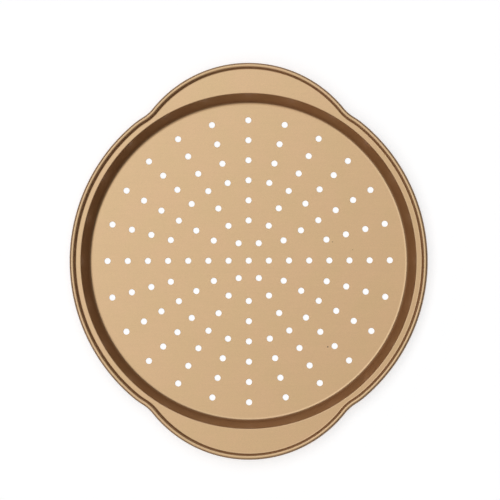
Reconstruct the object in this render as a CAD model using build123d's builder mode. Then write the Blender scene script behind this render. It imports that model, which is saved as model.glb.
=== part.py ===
from build123d import *
from math import asin, atan2, cos, degrees, radians, sin, tan
import os

# A perforated pizza pan with two handle wings, pressed from one coated steel sheet.
# Its edge is rolled down around a steel wire. The origin is the middle of the underside,
# +Z is up, and the handle wings lie along Y. Lengths are in millimetres, angles in degrees.

# Sheet, floor and wall
sheet_thickness = 0.6
floor_radius = 147.65  # flat part of the floor
floor_bend_radius = 4.0  # upper face of the hollow bend at the foot of the wall
wall_angle = 66.0  # from level
flange_height = 15.05  # from the table to the flange's upper face
flange_bend_radius = 1.3  # upper face of the bend at the top of the wall
flange_width = 3.25  # flat part of the flange, where the pan is round

# Perforations: one hole in the middle, then rings at an even pitch
hole_diameter = 5.8
ring_counts = (6, 12, 12, 24, 24, 24, 24)
perforation_margin = 14.3  # from the outermost ring to the edge of the flat floor

# Rolled edge and the wire inside it
wire_diameter = 3.8
wire_clearance = 0.05  # around the wire
wire_gap = 1.0  # between the wire's two ends
bead_rise = 2.95  # top of the rolled edge above the flange
bead_bend_radius = 1.5  # upper face of the hollow bend from the flange up to the roll
curl_opening = 49.0  # angle round the wire that the roll leaves open, under the hollow bend

# Outline seen from above, at the outside of the rolled edge, from the X axis to a handle's tip:
# the round body, a tighter shoulder, a hollow neck, then the handle's outer curve
shoulder_angle = 50.0  # from the X axis, where the shoulder starts
shoulder_turn = 8.94
shoulder_radius = 64.0
neck_radius = 37.0
handle_reach = 18.2  # a handle's tip beyond the round body

cut_overrun = 1.0


def polar(centre, distance, angle):
    """The point at a distance from centre, at an angle from the X axis."""
    return centre[0] + distance * cos(radians(angle)), centre[1] + distance * sin(radians(angle))


ring_pitch = (floor_radius - perforation_margin) / len(ring_counts)

# The wall's foot and top, as the sharp corners that its two bends round off
bend_share = tan(radians(wall_angle / 2))
corner_shift = sheet_thickness * bend_share  # how far out the sheet's lower face has them
wall_foot_radius = floor_radius + floor_bend_radius * bend_share
wall_run = (flange_height - sheet_thickness) / tan(radians(wall_angle))
wall_top_radius = wall_foot_radius + wall_run
flange_radius = wall_top_radius + flange_bend_radius * bend_share

# The hollow bend and the roll around the wire, in a section through the rim at the +X side.
# A centre there is (distance out, height). The roll's is outwards of the bend's and lower.
curl_inner_radius = wire_diameter / 2 + wire_clearance
curl_outer_radius = curl_inner_radius + sheet_thickness
roll_height = flange_height + bead_rise - curl_outer_radius
bend_centre = (flange_radius + flange_width, flange_height + bead_bend_radius)
bend_distance = curl_outer_radius + bead_bend_radius
bend_lift = degrees(asin((bend_centre[1] - roll_height) / bend_distance))
roll_centre = polar(bend_centre, bend_distance, -bend_lift)

# The dish and the plate of the flange meet in the middle of the flange
seam_radius = flange_radius + flange_width / 2

# Sizes of the outline, and the centres of its arcs in the quarter where X and Y are positive
body_radius = roll_centre[0] + curl_outer_radius
bend_inset = body_radius - bend_centre[0]
handle_tip = body_radius + handle_reach
neck_angle = shoulder_angle + shoulder_turn
shoulder_centre = polar((0, 0), body_radius - shoulder_radius, shoulder_angle)
neck_centre = polar(shoulder_centre, shoulder_radius + neck_radius, neck_angle)

# The handle's curve is centred on the Y axis, passes through the tip and touches the neck
neck_below_tip = handle_tip - neck_centre[1]
handle_radius = (neck_centre[0] ** 2 + neck_below_tip**2 - neck_radius**2) / (
    2 * (neck_below_tip + neck_radius)
)
handle_centre = (0, handle_tip - handle_radius)
handle_angle = degrees(atan2(neck_centre[1] - handle_centre[1], neck_centre[0]))


def draw_outline(inset):
    """Draw the pan's closed outline, moved inwards by inset, in the line block that is open."""
    CenterArc((0, 0), body_radius - inset, 0, shoulder_angle)
    CenterArc(shoulder_centre, shoulder_radius - inset, shoulder_angle, neck_angle - shoulder_angle)
    CenterArc(neck_centre, neck_radius + inset, neck_angle + 180, handle_angle - neck_angle)
    CenterArc(handle_centre, handle_radius - inset, handle_angle, 90 - handle_angle)
    mirror(about=Plane.YZ)
    mirror(about=Plane.XZ)


# Where the axis of the wire, and of the roll around it, runs
with BuildLine(Plane.XY.offset(roll_centre[1])) as wire_axis:
    draw_outline(curl_outer_radius)

with BuildPart() as pan_body:
    # Floor, wall and the start of the flange, turned about the middle
    with BuildSketch(Plane.XZ):
        with BuildLine():
            upper_face = FilletPolyline(
                (0, sheet_thickness),
                (wall_foot_radius, sheet_thickness),
                (wall_top_radius, flange_height),
                (seam_radius, flange_height),
                radius=[floor_bend_radius, flange_bend_radius],
            )
            lower_face = FilletPolyline(
                (0, 0),
                (wall_foot_radius + corner_shift, 0),
                (wall_top_radius + corner_shift, flange_height - sheet_thickness),
                (seam_radius, flange_height - sheet_thickness),
                radius=[floor_bend_radius + sheet_thickness, flange_bend_radius - sheet_thickness],
            )
            Line(upper_face @ 0, lower_face @ 0)
            Line(upper_face @ 1, lower_face @ 1)
        make_face()
    revolve(axis=Axis.Z)

    # The rest of the flange and the two handle wings
    with BuildSketch(Plane.XY.offset(flange_height - sheet_thickness)):
        with BuildLine():
            draw_outline(bend_inset)
        make_face()
        Circle(seam_radius, mode=Mode.SUBTRACT)
    extrude(amount=sheet_thickness)

    # Rolled edge: up from the flange in the hollow bend, over the wire, down and under it
    with BuildSketch(Plane.XZ):
        with BuildLine():
            bend_turn = 90 - bend_lift
            roll_start = 180 - bend_lift
            roll_turn = curl_opening - 360
            bend_above = CenterArc(bend_centre, bead_bend_radius, -90, bend_turn)
            bend_below = CenterArc(bend_centre, bead_bend_radius + sheet_thickness, -90, bend_turn)
            roll_outside = CenterArc(roll_centre, curl_outer_radius, roll_start, roll_turn)
            roll_inside = CenterArc(roll_centre, curl_inner_radius, roll_start, roll_turn)
            Line(bend_above @ 0, bend_below @ 0)
            Line(roll_outside @ 1, roll_inside @ 1)
        make_face()
    sweep(path=wire_axis.wire())

    # Perforations
    with BuildSketch():
        Circle(hole_diameter / 2)
        for ring, count in enumerate(ring_counts, start=1):
            with PolarLocations(ring * ring_pitch, count):
                Circle(hole_diameter / 2)
    extrude(amount=sheet_thickness + cut_overrun, both=True, mode=Mode.SUBTRACT)

pan_body.part.label = "pan_body"

with BuildPart() as rim_wire:
    with BuildSketch(Plane.XZ):
        with Locations(roll_centre):
            Circle(wire_diameter / 2)
    sweep(path=wire_axis.wire())

    # The gap between the wire's ends, in the middle of the -X side
    gap_box_side = wire_diameter + cut_overrun
    with Locations((-roll_centre[0], 0, roll_centre[1])):
        Box(gap_box_side, wire_gap, gap_box_side, mode=Mode.SUBTRACT)

rim_wire.part.label = "rim_wire"

os.makedirs("parts", exist_ok=True)
export_step(pan_body.part, "parts/pan_body.step")
export_step(rim_wire.part, "parts/rim_wire.step")
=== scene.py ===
from math import asin, ceil, cos, degrees, dist, hypot, pi, radians, sin, tan

import bpy
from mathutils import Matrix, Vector
from mathutils.geometry import delaunay_2d_cdt


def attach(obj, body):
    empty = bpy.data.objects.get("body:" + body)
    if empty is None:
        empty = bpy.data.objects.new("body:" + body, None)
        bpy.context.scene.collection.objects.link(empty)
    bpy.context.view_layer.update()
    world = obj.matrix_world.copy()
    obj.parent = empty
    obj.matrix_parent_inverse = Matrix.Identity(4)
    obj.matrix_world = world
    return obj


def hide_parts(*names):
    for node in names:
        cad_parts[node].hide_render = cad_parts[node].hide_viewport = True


# A perforated pizza pan with two handle wings, dressed for the render. Lengths are in
# millimetres and angles in degrees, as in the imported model's own source, until a mesh is made.

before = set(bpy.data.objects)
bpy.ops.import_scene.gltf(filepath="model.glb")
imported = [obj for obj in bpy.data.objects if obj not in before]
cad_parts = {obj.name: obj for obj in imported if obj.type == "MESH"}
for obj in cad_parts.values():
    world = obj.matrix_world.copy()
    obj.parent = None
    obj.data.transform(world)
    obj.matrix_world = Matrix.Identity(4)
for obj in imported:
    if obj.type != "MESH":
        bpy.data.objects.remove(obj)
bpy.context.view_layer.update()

MM = 0.001

# Sheet, floor and wall
sheet_thickness = 0.6
floor_radius = 147.65
floor_bend_radius = 4.0
wall_angle = 66.0
flange_height = 15.05
flange_bend_radius = 1.3
flange_width = 3.25

# Perforations
hole_radius = 2.9
hole_edge_round = 0.15
ring_counts = (6, 12, 12, 24, 24, 24, 24)
perforation_margin = 14.3

# Rolled edge
wire_diameter = 3.8
wire_clearance = 0.05
bead_rise = 2.95
bead_bend_radius = 1.5
curl_opening = 49.0

# Outline seen from above
shoulder_angle = 50.0
shoulder_turn = 8.94
shoulder_radius = 64.0
neck_radius = 37.0
handle_reach = 18.2

# How finely the mesh follows them
station_spacing = 2.4
bend_steps = 8
roll_steps = 35  # with no point quite at the outermost place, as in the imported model's mesh
hole_sides = 32
hole_edge_steps = 3
floor_cell = 9.0
same_place = 1e-6  # section points nearer together than this share their row
flat_tolerance = 1e-5  # of the triangles that fill the floor


def polar(centre, distance, angle):
    """The point at a distance from centre, at an angle from the X axis."""
    return centre[0] + distance * cos(radians(angle)), centre[1] + distance * sin(radians(angle))


# Section through the rim at the +X side: a point is (distance out, height)
bend_share = tan(radians(wall_angle / 2))
wall_foot_radius = floor_radius + floor_bend_radius * bend_share
wall_run = (flange_height - sheet_thickness) / tan(radians(wall_angle))
flange_radius = wall_foot_radius + wall_run + flange_bend_radius * bend_share
curl_inner_radius = wire_diameter / 2 + wire_clearance
curl_outer_radius = curl_inner_radius + sheet_thickness
roll_height = flange_height + bead_rise - curl_outer_radius
bend_centre = (flange_radius + flange_width, flange_height + bead_bend_radius)
bend_distance = curl_outer_radius + bead_bend_radius
bend_lift = degrees(asin((bend_centre[1] - roll_height) / bend_distance))
roll_centre = polar(bend_centre, bend_distance, -bend_lift)

# Arcs of the outline in the quarter where X and Y are positive
body_radius = roll_centre[0] + curl_outer_radius
handle_tip = body_radius + handle_reach
neck_angle = shoulder_angle + shoulder_turn
shoulder_centre = polar((0, 0), body_radius - shoulder_radius, shoulder_angle)
neck_centre = polar(shoulder_centre, shoulder_radius + neck_radius, neck_angle)
neck_below_tip = handle_tip - neck_centre[1]
handle_radius = (neck_centre[0] ** 2 + neck_below_tip**2 - neck_radius**2) / (
    2 * (neck_below_tip + neck_radius)
)
handle_centre = (0, handle_tip - handle_radius)
handle_angle = degrees(asin((neck_centre[1] - handle_centre[1]) / (handle_radius + neck_radius)))


def rim_stations():
    """Points all round the roll's centre line: (x, y, the outward direction's x and y)."""
    arcs = (
        ((0, 0), body_radius, 1, 0, shoulder_angle),
        (shoulder_centre, shoulder_radius, 1, shoulder_angle, neck_angle),
        (neck_centre, neck_radius, -1, neck_angle, handle_angle),
        (handle_centre, handle_radius, 1, handle_angle, 90),
    )
    quarter = []
    for centre, radius, side, start, end in arcs:
        steps = ceil(radius * radians(abs(end - start)) / station_spacing)
        for step in range(steps):
            angle = start + (end - start) * step / steps
            out = polar((0, 0), 1, angle)
            distance = side * radius - curl_outer_radius
            quarter.append((centre[0] + distance * out[0], centre[1] + distance * out[1], *out))
    quarter.append((0, handle_tip - curl_outer_radius, 0, 1))
    stations = []
    for flip_x, flip_y in ((1, 1), (-1, 1), (-1, -1), (1, -1)):
        ordered = quarter[:-1] if flip_x == flip_y else quarter[:0:-1]
        stations += [(x * flip_x, y * flip_y, a * flip_x, b * flip_y) for x, y, a, b in ordered]
    return stations


def section_arc(carrier, centre, radius, start, turn, steps, side):
    """Section points on an arc. Its face looks away from the centre, or towards it at side -1."""
    points = []
    for step in range(steps + 1):
        out = polar((0, 0), 1, start + turn * step / steps)
        place = (centre[0] + radius * out[0], centre[1] + radius * out[1])
        points.append((carrier, *place, side * out[0], side * out[1]))
    return points


def pan_section():
    """The sheet's section from the floor's upper face out round the rim and back underneath.

    A section point is (carrier, distance out, height, the face direction's two parts). What the
    dish carries is measured from the pan's axis, and what the rim carries from the roll's centre
    line, at the +X side's distance from the axis.
    """
    foot_centre = (floor_radius, sheet_thickness + floor_bend_radius)
    top_centre = (flange_radius, flange_height - flange_bend_radius)
    bend_turn = 90 - bend_lift
    roll_start = 180 - bend_lift
    roll_end = roll_start + curl_opening - 360
    hollow_under = bead_bend_radius + sheet_thickness
    end_face = polar((0, 0), 1, roll_end - 90)
    section = section_arc("dish", foot_centre, floor_bend_radius, -90, wall_angle, bend_steps, -1)
    section += section_arc(
        "dish", top_centre, flange_bend_radius, 90 + wall_angle, -wall_angle, bend_steps, 1
    )
    section += section_arc("rim", bend_centre, bead_bend_radius, -90, bend_turn, bend_steps, -1)
    section += section_arc(
        "rim", roll_centre, curl_outer_radius, roll_start, roll_end - roll_start, roll_steps, 1
    )
    section += [
        ("rim", *polar(roll_centre, radius, roll_end), *end_face)
        for radius in (curl_outer_radius, curl_inner_radius)
    ]
    section += section_arc(
        "rim", roll_centre, curl_inner_radius, roll_end, roll_start - roll_end, roll_steps, -1
    )
    section += section_arc("rim", bend_centre, hollow_under, -bend_lift, -bend_turn, bend_steps, 1)
    section += section_arc(
        "dish", top_centre, flange_bend_radius - sheet_thickness, 90, wall_angle, bend_steps, -1
    )
    section += section_arc(
        "dish", foot_centre, floor_bend_radius + sheet_thickness, wall_angle - 90, -wall_angle,
        bend_steps, 1,
    )
    return section


class Sheet:
    """Collects a closed mesh, with the direction that each face corner looks in."""

    def __init__(self):
        self.places = []
        self.faces = []
        self.looks = []

    def row(self, places):
        """Add points and return their numbers."""
        first = len(self.places)
        self.places += places
        return list(range(first, len(self.places)))

    def join(self, row_a, looks_a, row_b, looks_b):
        """Join two closed rows of points with a band of four-sided faces."""
        count = len(row_a)
        for k in range(count):
            n = (k + 1) % count
            self.faces.append((row_a[k], row_b[k], row_b[n], row_a[n]))
            self.looks += [looks_a[k], looks_b[k], looks_b[n], looks_a[n]]

    def make(self, name):
        """Make the mesh, in metres."""
        mesh = bpy.data.meshes.new(name)
        mesh.from_pydata([(x * MM, y * MM, z * MM) for x, y, z in self.places], [], self.faces)
        mesh.shade_smooth()
        mesh.normals_split_custom_set(self.looks)
        return mesh


def hole_centres():
    """Where the perforations are: one in the middle, then rings at an even pitch."""
    ring_pitch = (floor_radius - perforation_margin) / len(ring_counts)
    centres = [(0, 0)]
    for ring, count in enumerate(ring_counts, start=1):
        centres += [polar((0, 0), ring * ring_pitch, 360 * k / count) for k in range(count)]
    return centres


def lay_rim_and_wall(sheet):
    """Lay the sheet from the floor's edge round the rim. Returns the floor's two edge rows."""
    stations = rim_stations()
    rows = []
    for carrier, out, height, look_out, look_up in pan_section():
        places, looks = [], []
        for x, y, a, b in stations:
            if carrier == "dish":
                distance = hypot(x, y)
                a, b = x / distance, y / distance
                places.append((a * out, b * out, height))
            else:
                shift = out - roll_centre[0]
                places.append((x + a * shift, y + b * shift, height))
            looks.append((a * look_out, b * look_out, look_up))
        row = rows[-1][0] if rows else None
        if row is None or dist(places[0], sheet.places[row[0]]) > same_place:
            row = sheet.row(places)
        rows.append((row, looks))
    for (row_a, looks_a), (row_b, looks_b) in zip(rows, rows[1:]):
        if row_a is not row_b:
            sheet.join(row_a, looks_a, row_b, looks_b)
    return rows[0][0], rows[-1][0]


def punch_hole(sheet, centre):
    """Lay one perforation's barrel. Returns its upper and lower edge rows."""
    section = []
    for step in range(hole_edge_steps + 1):
        lean = pi / 2 * step / hole_edge_steps
        radius = hole_radius + hole_edge_round * (1 - sin(lean))
        section.append((radius, sheet_thickness - hole_edge_round * (1 - cos(lean)), lean))
    section.append((hole_radius, 0, pi / 2))
    spokes = [polar((0, 0), 1, -360 * k / hole_sides) for k in range(hole_sides)]
    rows = []
    for radius, height, lean in section:
        places = [(centre[0] + radius * x, centre[1] + radius * y, height) for x, y in spokes]
        looks = [(-x * sin(lean), -y * sin(lean), cos(lean)) for x, y in spokes]
        rows.append((sheet.row(places), looks))
    for (row_a, looks_a), (row_b, looks_b) in zip(rows, rows[1:]):
        sheet.join(row_a, looks_a, row_b, looks_b)
    return rows[0][0], rows[-1][0]


def fill_floor(sheet, edge_row, hole_rows, centres, side):
    """Fill one face of the floor, from its edge to the perforations, with even triangles."""
    height = sheet.places[edge_row[0]][2]
    numbers = list(edge_row)
    loops = [list(range(len(edge_row)))]
    for row in hole_rows:
        loops.append(list(range(len(numbers), len(numbers) + len(row))))
        numbers += row

    # Points between the perforations, in rings, where they aren't too near to one
    clear = hole_radius + hole_edge_round + floor_cell / 4
    spare = []
    rings = round(floor_radius / floor_cell)
    for ring in range(1, rings):
        radius = floor_radius * ring / rings
        count = 6 * ring
        for k in range(count):
            place = polar((0, 0), radius, 360 * (k + ring / 2) / count)
            if all(hypot(place[0] - x, place[1] - y) > clear for x, y in centres):
                spare.append((*place, height))
    numbers += sheet.row(spare)

    # The triangles inside a perforation are left out: they are nearer to its centre than the
    # middles of its edge's straight pieces
    flat = [Vector(sheet.places[n][:2]) for n in numbers]
    edges = [(loop[k - 1], loop[k]) for loop in loops for k in range(len(loop))]
    hole_edge_radius = hypot(*sheet.places[hole_rows[0][0]][:2])
    open_radius = hole_edge_radius * cos(pi / hole_sides)
    for triangle in delaunay_2d_cdt(flat, edges, [], 0, flat_tolerance)[2]:
        middle = sum((flat[k] for k in triangle), Vector((0, 0))) / 3
        if all(hypot(middle[0] - x, middle[1] - y) > open_radius for x, y in centres):
            corners = [numbers[k] for k in triangle]
            sheet.faces.append(corners if side > 0 else corners[::-1])
            sheet.looks += [(0, 0, side)] * 3


def build_pan_sheet():
    """The pressed, punched and rolled sheet as one closed mesh."""
    sheet = Sheet()
    centres = hole_centres()
    upper_edge, lower_edge = lay_rim_and_wall(sheet)
    barrels = [punch_hole(sheet, centre) for centre in centres]
    fill_floor(sheet, upper_edge, [upper for upper, lower in barrels], centres, 1)
    fill_floor(sheet, lower_edge, [lower for upper, lower in barrels], centres, -1)
    piece = bpy.data.objects.new("pan_sheet", sheet.make("pan_sheet"))
    bpy.context.scene.collection.objects.link(piece)
    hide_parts("pan_body")
    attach(piece, "root")
    return piece


# Shader helpers. An input takes a number, a vector, a colour or another node's output.


def add_node(tree, kind, inputs, **settings):
    node = tree.nodes.new("ShaderNode" + kind)
    for name, value in settings.items():
        setattr(node, name, value)
    for name, value in inputs.items():
        if isinstance(value, bpy.types.NodeSocket):
            tree.links.new(value, node.inputs[name])
        else:
            node.inputs[name].default_value = value
    return node


def calc(tree, operation, a, b=0.0):
    """A sum with one or two numbers."""
    return add_node(tree, "Math", {0: a, 1: b}, operation=operation).outputs[0]


def vector_calc(tree, operation, inputs, result="Vector"):
    """A sum with vectors, whose result is a "Vector" or a "Value"."""
    return add_node(tree, "VectorMath", inputs, operation=operation).outputs[result]


def scaled(tree, vector, share):
    return vector_calc(tree, "SCALE", {0: vector, "Scale": share})


def ramp(tree, value, low, high, to_low=0.0, to_high=1.0, kind="LINEAR"):
    """Map a range of an output's values to another range, and no further."""
    ends = {"From Min": low, "From Max": high, "To Min": to_low, "To Max": to_high}
    return add_node(tree, "MapRange", {"Value": value, **ends}, interpolation_type=kind).outputs[0]


def blend(tree, share, a, b):
    """Mix two colours by a share."""
    return add_node(tree, "Mix", {0: share, 6: a, 7: b}, data_type="RGBA").outputs[2]


def noise(tree, place, size, detail=2.0, stretch=(1, 1, 1)):
    """Noise whose grains are about so many millimetres wide, times stretch along each axis."""
    scale = [1 / (size * MM * share) for share in stretch]
    sized = vector_calc(tree, "MULTIPLY", {0: place, 1: scale})
    return add_node(tree, "TexNoise", {"Vector": sized, "Scale": 1.0, "Detail": detail}).outputs[0]


noise_range = (0.3, 0.7)  # holds nearly all of a noise's values


def bumps(tree, height, strength, depth):
    """The normal over bumps that are so many millimetres deep."""
    inputs = {"Height": height, "Strength": strength, "Distance": depth * MM}
    return add_node(tree, "Bump", inputs).outputs[0]


def new_material(name):
    material = bpy.data.materials.new(name)
    material.use_nodes = True
    tree = material.node_tree
    place = tree.nodes.new("ShaderNodeTexCoord").outputs["Object"]
    return material, tree, tree.nodes["Principled BSDF"], place


# The coating's look
greener_tone = (0.655, 0.43, 0.214, 1)
redder_tone = (0.673, 0.429, 0.222, 1)
tone_range = (0.35, 0.65)  # of the noise that turns one into the other
tone_size = 34.0  # of its clouds
metal_share = 0.9  # the rest is the spray's binder
coating_roughness = 0.3
coat_roughness = 0.25
gloss_change = 0.008
gloss_patch_size = 12.0
gloss_speckle_size = 0.7
slope_roughness = 0.2  # more on the slopes, where the spray lands dry
flake_sparkle = 0.06
flake_size = 0.45
grain_depth = 0.012
grain_size = 0.9
grain_stretch = (40, 1, 1)
grain_relief = 2.0  # how much the grain counts in the relief, beside the spray's peel
peel_size = 1.1
relief_strength = 0.1
relief_depth = 0.05
painted_slope_shade = (0.9, 0.79, 0.775)  # painted shade: the slopes are coloured darker and redder, for the darker hue of the wall's reflections
slope_range = (0.98, 0.75)  # share of a face that is level, where a slope starts and is full
outer_painted_shade = 0.42  # painted shade: the colour is darkened round the outside of the bead and the wall, to stand for the darker reflection there
outer_range = (-0.75, 0.7)  # how much more a face looks outwards than up or down
specks = (  # x, y, radius, tone
    (74.3, -81.5, 0.9, 0.25),
    (79.3, 17.5, 0.65, 0.4),
    (98.2, 10.0, 0.6, 0.5),
)

# The wire's look
steel_tone = (0.3, 0.3, 0.32, 1)
stained_tone = (0.22, 0.215, 0.22, 1)
stain_range = (0.35, 0.7)
stain_size = 9.0
steel_roughness = (0.32, 0.5)
scratch_size = 0.25
scratch_strength = 0.2
scratch_depth = 0.02


def levelness(tree, normal):
    """The share of a face's direction that is up or down."""
    return calc(tree, "ABSOLUTE", add_node(tree, "SeparateXYZ", {0: normal}).outputs["Z"])


def outer_side(tree):
    """How far a face looks outwards, from 0 on the floor to 1 round the outside of the bead."""
    geometry = tree.nodes.new("ShaderNodeNewGeometry").outputs
    flat_place = vector_calc(tree, "MULTIPLY", {0: geometry["Position"], 1: (1, 1, 0)})
    outwards = vector_calc(tree, "NORMALIZE", {0: flat_place})
    out = vector_calc(tree, "DOT_PRODUCT", {0: geometry["Normal"], 1: outwards}, "Value")
    more = calc(tree, "SUBTRACT", out, levelness(tree, geometry["Normal"]))
    return ramp(tree, more, *outer_range, kind="SMOOTHSTEP")


def slope(tree):
    """How steep a face is, from 0 where it is nearly level to 1 on the wall."""
    normal = tree.nodes.new("ShaderNodeNewGeometry").outputs["Normal"]
    return ramp(tree, levelness(tree, normal), *slope_range, kind="SMOOTHSTEP")


def pan_coating():
    """Satin champagne non-stick coating, sprayed over a rolled steel sheet."""
    material, tree, shader, place = new_material("pan_coating")
    shader.inputs["Metallic"].default_value = metal_share
    shader.inputs["Coat Weight"].default_value = 1.0
    shader.inputs["Coat Roughness"].default_value = coat_roughness

    # Colour: soft clouds of a greener and a redder tone, the fine sparkle of metal flakes, and
    # painted shade round the outside and on the slopes
    clouds = ramp(tree, noise(tree, place, tone_size, 3.0), *tone_range)
    colour = blend(tree, clouds, greener_tone, redder_tone)
    flakes = noise(tree, place, flake_size, 1.0)
    flakes = ramp(tree, flakes, *noise_range, 1 - flake_sparkle, 1 + flake_sparkle)
    grain = noise(tree, place, grain_size, 3.0, grain_stretch)
    grain = ramp(tree, grain, *noise_range, 1 - grain_depth, 1 + grain_depth)
    shade = calc(tree, "MULTIPLY", flakes, grain)
    for x, y, radius, tone in specks:
        centre = (x * MM, y * MM, sheet_thickness * MM)
        away = vector_calc(tree, "DISTANCE", {0: place, 1: centre}, "Value")
        speck = ramp(tree, away, radius * MM / 2, radius * MM, tone, 1.0)
        shade = calc(tree, "MULTIPLY", shade, speck)
    # Painted shade: the faces that look outwards round the bead and the wall are darkened
    outer = ramp(tree, outer_side(tree), 0.0, 1.0, 1.0, outer_painted_shade)
    shaded = scaled(tree, colour, calc(tree, "MULTIPLY", shade, outer))
    # Painted shade: the slopes are coloured darker and redder
    sloped = vector_calc(tree, "MULTIPLY", {0: shaded, 1: painted_slope_shade})
    steepness = slope(tree)
    tree.links.new(blend(tree, steepness, shaded, sloped), shader.inputs["Base Color"])

    # Gloss: a little uneven, where the spray lies thicker or thinner
    gloss = ramp(tree, steepness, 0.0, 1.0, coating_roughness, coating_roughness + slope_roughness)
    for size, detail in ((gloss_patch_size, 3.0), (gloss_speckle_size, 1.0)):
        change = noise(tree, place, size, detail)
        change = ramp(tree, change, *noise_range, -gloss_change, gloss_change)
        gloss = calc(tree, "ADD", gloss, change)
    tree.links.new(gloss, shader.inputs["Roughness"])

    # Relief: the fine orange peel of the spray and the sheet's rolling grain
    peel = noise(tree, place, peel_size, 2.0)
    height = calc(tree, "ADD", peel, calc(tree, "MULTIPLY", grain, grain_relief))
    relief = bumps(tree, height, relief_strength, relief_depth)
    tree.links.new(relief, shader.inputs["Normal"])
    return material


def wire_steel():
    """Plain drawn steel wire, slightly uneven in tone."""
    material, tree, shader, place = new_material("wire_steel")
    shader.inputs["Metallic"].default_value = 1.0
    stains = ramp(tree, noise(tree, place, stain_size, 3.0), *stain_range)
    tree.links.new(blend(tree, stains, steel_tone, stained_tone), shader.inputs["Base Color"])
    scratches = noise(tree, place, scratch_size, 2.0)
    gloss = ramp(tree, scratches, *noise_range, *steel_roughness)
    tree.links.new(gloss, shader.inputs["Roughness"])
    relief = bumps(tree, scratches, scratch_strength, scratch_depth)
    tree.links.new(relief, shader.inputs["Normal"])
    return material


# Stage: the floor, the light and the camera

floor_side = 60.0  # metres
floor_drop = 0.05
floor_paint = (0.95, 0.84, 0.77, 1)  # warm, so that the pan's shadow comes out neutral
floor_glow = (0.506, 0.563, 0.599, 1)  # fills it up to white for the camera and for reflections


def background_rays(tree):
    """1 for the rays that show the background: the camera's and those of gloss and glass."""
    rays = tree.nodes.new("ShaderNodeLightPath").outputs
    seen = calc(tree, "ADD", rays["Is Camera Ray"], rays["Is Glossy Ray"])
    return calc(tree, "ADD", seen, rays["Is Transmission Ray"])


def build_floor():
    """A wide white floor that is clear from below, so that a low camera sees the underside."""
    half = floor_side / 2
    signs = ((-1, -1), (1, -1), (1, 1), (-1, 1))
    corners = [(x * half, y * half, -floor_drop * MM) for x, y in signs]
    mesh = bpy.data.meshes.new("stage_floor")
    mesh.from_pydata(corners, [], [(0, 1, 2, 3)])
    floor = bpy.data.objects.new("stage_floor", mesh)
    bpy.context.scene.collection.objects.link(floor)
    material = bpy.data.materials.new("stage_floor")
    material.use_nodes = True
    tree = material.node_tree
    tree.nodes.remove(tree.nodes["Principled BSDF"])
    paint = add_node(tree, "BsdfDiffuse", {"Color": floor_paint})
    glow = add_node(tree, "Emission", {"Color": floor_glow, "Strength": background_rays(tree)})
    above = add_node(tree, "AddShader", {0: paint.outputs[0], 1: glow.outputs[0]})
    clear = tree.nodes.new("ShaderNodeBsdfTransparent")
    below = tree.nodes.new("ShaderNodeNewGeometry").outputs["Backfacing"]
    surface = add_node(tree, "MixShader", {0: below, 1: above.outputs[0], 2: clear.outputs[0]})
    tree.links.new(surface.outputs[0], tree.nodes["Material Output"].inputs["Surface"])
    mesh.materials.append(material)


# The studio's light: a soft box overhead, brighter and cooler to one side, in a dim warm room with
# paler walls. Directions are unit vectors, so a height is the sine of the angle above the floor.
box_centre = (-0.005, -0.045)
box_reach = (0.67, 0.83)
box_softness = 0.12  # share of its reach over which its edge fades
box_light = 0.98
room_light = 0.027
room_colour = (1.0, 0.73, 0.54)
wall_light = 0.21
wall_middle = 0.26  # height
wall_top = 0.5
brighter_side = (-0.8, 0.48, 0.0)  # how much brighter all of it gets that way
cooler_side = (-0.8, 0.6, 0.0)
cooler_turn = 0.2  # how far that way the box has turned cool, and warm the other way
cool_light = (1.0, 1.068, 1.14, 1)
warm_light = (1.0, 0.968, 0.93, 1)
backdrop_height = 0.05  # of the white strip that metal shows at the horizon


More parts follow.
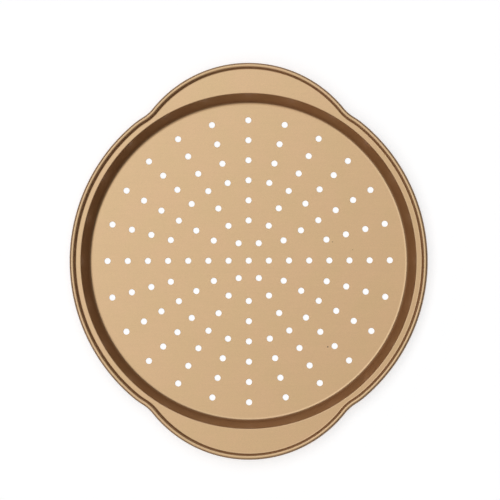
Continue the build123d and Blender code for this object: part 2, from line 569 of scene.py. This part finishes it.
def build_world():
    """The light, with a white background for the camera where it looks over the floor's edge."""
    world = bpy.data.worlds.new("studio")
    bpy.context.scene.world = world
    world.use_nodes = True
    tree = world.node_tree
    direction = tree.nodes.new("ShaderNodeTexCoord").outputs["Generated"]

    def along(vector):
        return vector_calc(tree, "DOT_PRODUCT", {0: direction, 1: vector}, "Value")

    scale = (1 / box_reach[0], 1 / box_reach[1], 0)
    shift = (-box_centre[0] / box_reach[0], -box_centre[1] / box_reach[1], 0)
    across = vector_calc(tree, "MULTIPLY_ADD", {0: direction, 1: scale, 2: shift})
    offset = vector_calc(tree, "LENGTH", {0: across}, "Value")
    box = ramp(tree, offset, 1.0, 1 - box_softness, 0.0, box_light, "SMOOTHSTEP")
    cooler = ramp(tree, along(cooler_side), -cooler_turn, cooler_turn)
    box = scaled(tree, blend(tree, cooler, warm_light, cool_light), box)

    height = along((0, 0, 1))
    walls = calc(
        tree, "MINIMUM", ramp(tree, height, 0.0, wall_middle, 0.0, wall_light),
        ramp(tree, height, wall_middle, wall_top, wall_light, 0.0),
    )
    room = scaled(tree, room_colour, calc(tree, "ADD", walls, room_light))
    light = vector_calc(tree, "ADD", {0: box, 1: room})
    strength = calc(tree, "ADD", along(brighter_side), 1.0)
    studio = add_node(tree, "Background", {"Color": light, "Strength": strength})

    white = add_node(tree, "Background", {"Color": (1, 1, 1, 1), "Strength": 1.0})
    camera = tree.nodes.new("ShaderNodeLightPath").outputs["Is Camera Ray"]
    strip = calc(tree, "LESS_THAN", height, backdrop_height)
    strip = calc(tree, "MULTIPLY", strip, background_rays(tree))
    backdrop = calc(tree, "MAXIMUM", camera, strip)
    choose = add_node(tree, "MixShader", {0: backdrop, 1: studio.outputs[0], 2: white.outputs[0]})
    tree.links.new(choose.outputs[0], tree.nodes["World Output"].inputs["Surface"])


# The camera, as the perforations in the photograph place it
camera_place = (2.9, -38.5, 1226.0)
camera_turn = (2.268, 0.082, -0.157)
camera_lens = 93.41
camera_sensor = 36.0
camera_sight = 200.0  # metres


def build_camera():
    camera = bpy.data.cameras.new("camera")
    camera.sensor_width = camera_sensor
    camera.lens = camera_lens
    camera.clip_end = camera_sight
    holder = bpy.data.objects.new("camera", camera)
    holder.location = Vector(camera_place) * MM
    holder.rotation_euler = [radians(angle) for angle in camera_turn]
    bpy.context.scene.collection.objects.link(holder)
    bpy.context.scene.camera = holder


build_camera()
build_world()
build_floor()
pan = build_pan_sheet()
pan.data.materials.append(pan_coating())
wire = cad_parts["rim_wire"]
wire.data.materials.clear()
wire.data.materials.append(wire_steel())

bpy.context.scene.view_settings.view_transform = "Standard"
